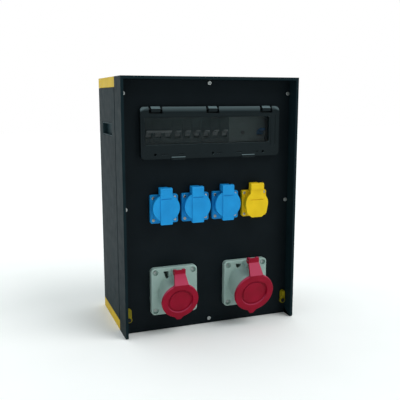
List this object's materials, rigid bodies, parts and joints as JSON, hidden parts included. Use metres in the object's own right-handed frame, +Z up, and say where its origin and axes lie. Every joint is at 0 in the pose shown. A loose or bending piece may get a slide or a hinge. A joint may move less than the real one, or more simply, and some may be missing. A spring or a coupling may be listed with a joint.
{
  "type": "portable power distribution box",
  "caption": "Upright grey box with a hood over a black panel: breakers under a hinged window, domestic sockets and two sloped industrial sockets with flap lids.",
  "frame": {"origin": "on the underside of the bottom cap, midway between the left and right sides and midway between the hood's front edge and the back wall", "axes": "+Z up, -Y out of the front, +X towards the box's right-hand side as seen from the front"},
  "size_m": [0.326, 0.2264, 0.45],
  "materials": {
    "grey_green": "fine satin moulding",
    "cap_yellow": "satin moulding",
    "black_panel": "fine satin sheet",
    "steel": "zinc plated",
    "socket_yellow": "smooth moulding",
    "dark_grey": "satin moulding",
    "smoke": "smoked clear plastic",
    "module_grey": "satin moulding",
    "black": "satin moulding",
    "blue": "smooth moulding",
    "pale_grey": "satin moulding",
    "brass": "plain",
    "red": "smooth moulding"
  },
  "bodies": {
    "case": {"front_hood": "grey_green", "rear_shell": "grey_green", "grip_cup_left": "grey_green", "grip_cup_right": "grey_green", "cap_bottom": "cap_yellow", "cap_top": "cap_yellow", "front_panel": "black_panel", "panel_screw_top": "steel", "panel_screw_upper_left": "steel", "panel_screw_upper_right": "steel", "panel_screw_middle_left": "steel", "panel_screw_middle_right": "steel", "panel_screw_bottom": "steel", "latch_screw_left": "steel", "latch_screw_right": "steel", "window_frame": "dark_grey", "window_hinge_pin": "steel", "din_rail": "steel", "main_breaker": "module_grey", "residual_current_breaker": "module_grey", "earth_terminal_bar": "brass", "breaker_1": "module_grey", "breaker_2": "module_grey", "breaker_3": "module_grey", "breaker_4": "module_grey", "breaker_5": "module_grey", "breaker_6": "module_grey", "blue_socket_1": "blue", "blue_socket_2": "blue", "blue_socket_3": "blue", "yellow_socket": "socket_yellow", "small_cee_socket": "pale_grey", "small_cee_contacts": "black", "small_cee_hinge_pin": "steel", "large_cee_socket": "pale_grey", "large_cee_contacts": "black", "large_cee_hinge_pin": "steel"},
    "window_cover_body": {"window_cover": "dark_grey", "window_pane": "smoke"},
    "blue_lid_1": {"blue_socket_1_lid": "blue"},
    "blue_lid_2": {"blue_socket_2_lid": "blue"},
    "blue_lid_3": {"blue_socket_3_lid": "blue"},
    "yellow_lid": {"yellow_socket_lid": "socket_yellow"},
    "small_cee_lid_body": {"small_cee_lid": "red"},
    "large_cee_lid_body": {"large_cee_lid": "red"},
    "latch_left": {"turn_latch_left": "socket_yellow"},
    "latch_right": {"turn_latch_right": "socket_yellow"},
    "main_lever": {"main_breaker_toggle": "pale_grey"},
    "lever_1": {"breaker_1_toggle": "pale_grey"},
    "lever_2": {"breaker_2_toggle": "pale_grey"},
    "lever_3": {"breaker_3_toggle": "pale_grey"},
    "lever_4": {"breaker_4_toggle": "pale_grey"},
    "lever_5": {"breaker_5_toggle": "pale_grey"},
    "lever_6": {"breaker_6_toggle": "pale_grey"},
    "residual_current_lever": {"residual_current_toggle": "blue"},
    "button": {"test_button": "pale_grey"}
  },
  "joints": [
    {"name": "window_hinge", "type": "hinge", "parent": "case", "child": "window_cover_body", "pos_m": [0, -0.078, 0.396], "axis": [-1, 0, 0], "range_deg": [0, 105]},
    {"name": "blue_lid_1_hinge", "type": "hinge", "parent": "case", "child": "blue_lid_1", "pos_m": [-0.0864, -0.0865, 0.256], "axis": [-1, 0, 0], "range_deg": [0, 95], "stiffness_Nm_per_rad": 0.02, "springref_deg": -20.05},
    {"name": "blue_lid_2_hinge", "type": "hinge", "parent": "case", "child": "blue_lid_2", "pos_m": [-0.0288, -0.0865, 0.256], "axis": [-1, 0, 0], "range_deg": [0, 95], "stiffness_Nm_per_rad": 0.02, "springref_deg": -20.05},
    {"name": "blue_lid_3_hinge", "type": "hinge", "parent": "case", "child": "blue_lid_3", "pos_m": [0.0288, -0.0865, 0.256], "axis": [-1, 0, 0], "range_deg": [0, 95], "stiffness_Nm_per_rad": 0.02, "springref_deg": -20.05},
    {"name": "yellow_lid_hinge", "type": "hinge", "parent": "case", "child": "yellow_lid", "pos_m": [0.0864, -0.0865, 0.256], "axis": [-1, 0, 0], "range_deg": [0, 95], "stiffness_Nm_per_rad": 0.02, "springref_deg": -20.05},
    {"name": "small_cee_lid_hinge", "type": "hinge", "parent": "case", "child": "small_cee_lid_body", "pos_m": [-0.0695, -0.1085, 0.1163], "axis": [-1, 0, 0], "range_deg": [0, 100], "stiffness_Nm_per_rad": 0.06, "springref_deg": -20.05},
    {"name": "large_cee_lid_hinge", "type": "hinge", "parent": "case", "child": "large_cee_lid_body", "pos_m": [0.0695, -0.1115, 0.1247], "axis": [-1, 0, 0], "range_deg": [0, 100], "stiffness_Nm_per_rad": 0.08, "springref_deg": -20.05},
    {"name": "latch_left_turn", "type": "hinge", "parent": "case", "child": "latch_left", "pos_m": [-0.1522, -0.0735, 0.027], "axis": [0, 1, 0], "range_deg": [0, 90]},
    {"name": "latch_right_turn", "type": "hinge", "parent": "case", "child": "latch_right", "pos_m": [0.1522, -0.0735, 0.027], "axis": [0, -1, 0], "range_deg": [0, 90]},
    {"name": "main_lever_rock", "type": "hinge", "parent": "case", "child": "main_lever", "pos_m": [-0.089, -0.051, 0.351], "axis": [1, 0, 0], "range_deg": [0, 52]},
    {"name": "lever_1_rock", "type": "hinge", "parent": "case", "child": "lever_1", "pos_m": [-0.0534, -0.051, 0.351], "axis": [1, 0, 0], "range_deg": [0, 52]},
    {"name": "lever_2_rock", "type": "hinge", "parent": "case", "child": "lever_2", "pos_m": [-0.0356, -0.051, 0.351], "axis": [1, 0, 0], "range_deg": [0, 52]},
    {"name": "lever_3_rock", "type": "hinge", "parent": "case", "child": "lever_3", "pos_m": [-0.0178, -0.051, 0.351], "axis": [1, 0, 0], "range_deg": [0, 52]},
    {"name": "lever_4_rock", "type": "hinge", "parent": "case", "child": "lever_4", "pos_m": [0, -0.051, 0.351], "axis": [1, 0, 0], "range_deg": [0, 52]},
    {"name": "lever_5_rock", "type": "hinge", "parent": "case", "child": "lever_5", "pos_m": [0.0178, -0.051, 0.351], "axis": [1, 0, 0], "range_deg": [0, 52]},
    {"name": "lever_6_rock", "type": "hinge", "parent": "case", "child": "lever_6", "pos_m": [0.0356, -0.051, 0.351], "axis": [1, 0, 0], "range_deg": [0, 52]},
    {"name": "residual_current_lever_rock", "type": "hinge", "parent": "case", "child": "residual_current_lever", "pos_m": [0.1068, -0.051, 0.351], "axis": [1, 0, 0], "range_deg": [0, 52]},
    {"name": "test_button_press", "type": "slide", "parent": "case", "child": "button", "axis": [0, 1, 0], "range_m": [0, 0.002], "stiffness_N_per_m": 300, "springref_m": -0.0005}
  ]
}
